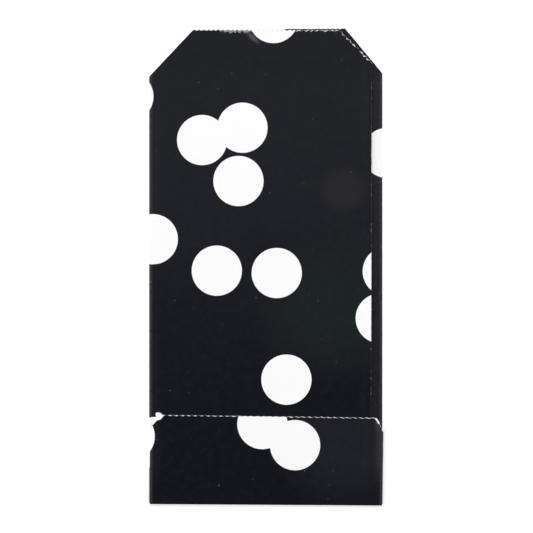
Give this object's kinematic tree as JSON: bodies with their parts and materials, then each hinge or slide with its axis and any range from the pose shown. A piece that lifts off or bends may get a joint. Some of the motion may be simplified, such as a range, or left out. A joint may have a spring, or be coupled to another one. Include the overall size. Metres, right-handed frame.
{
  "type": "flat paper favour bag",
  "caption": "Flat lapped-seam paper bag with a tag-shaped mouth, saw-toothed raw edges and a glued folded bottom.",
  "frame": {"origin": "under the middle of the flat bag, on the surface that its front panel lies on", "axes": "+X to the right seen from the seam side, +Y to the mouth, +Z out of the seam side"},
  "size_m": [0.07, 0.143, 0.0009],
  "materials": {
    "printed_paper": "semi-gloss black print with white dots, white inside",
    "glue": "dried water-based glue"
  },
  "bodies": {
    "bag": {"front_panel": "printed_paper", "back_panel": "printed_paper", "seam_lap": "printed_paper", "seam_glue": "glue", "left_side_crease": "printed_paper", "right_side_crease": "printed_paper", "bottom_crease_outer": "printed_paper", "bottom_crease_middle": "printed_paper", "bottom_crease_inner": "printed_paper", "flap_outer_ply": "printed_paper", "flap_lap_ply": "printed_paper", "flap_inner_ply": "printed_paper", "flap_seam_glue": "glue", "flap_left_crease": "printed_paper", "flap_right_crease": "printed_paper", "bottom_glue": "glue"},
    "back_lip": {"back_lip_ply": "printed_paper", "lap_lip_ply": "printed_paper", "lap_lip_glue": "glue"},
    "front_lip": {"front_lip_ply": "printed_paper"}
  },
  "joints": [
    {"name": "closing_fold", "type": "hinge", "parent": "bag", "child": "back_lip", "pos_m": [0, 0.0581, 0.0006], "axis": [1, 0, 0], "range_deg": [0, 176]},
    {"name": "mouth_open", "type": "hinge", "parent": "back_lip", "child": "front_lip", "pos_m": [0, 0.0581, 0.00006], "axis": [-1, 0, 0], "range_deg": [0, 90]}
  ]
}
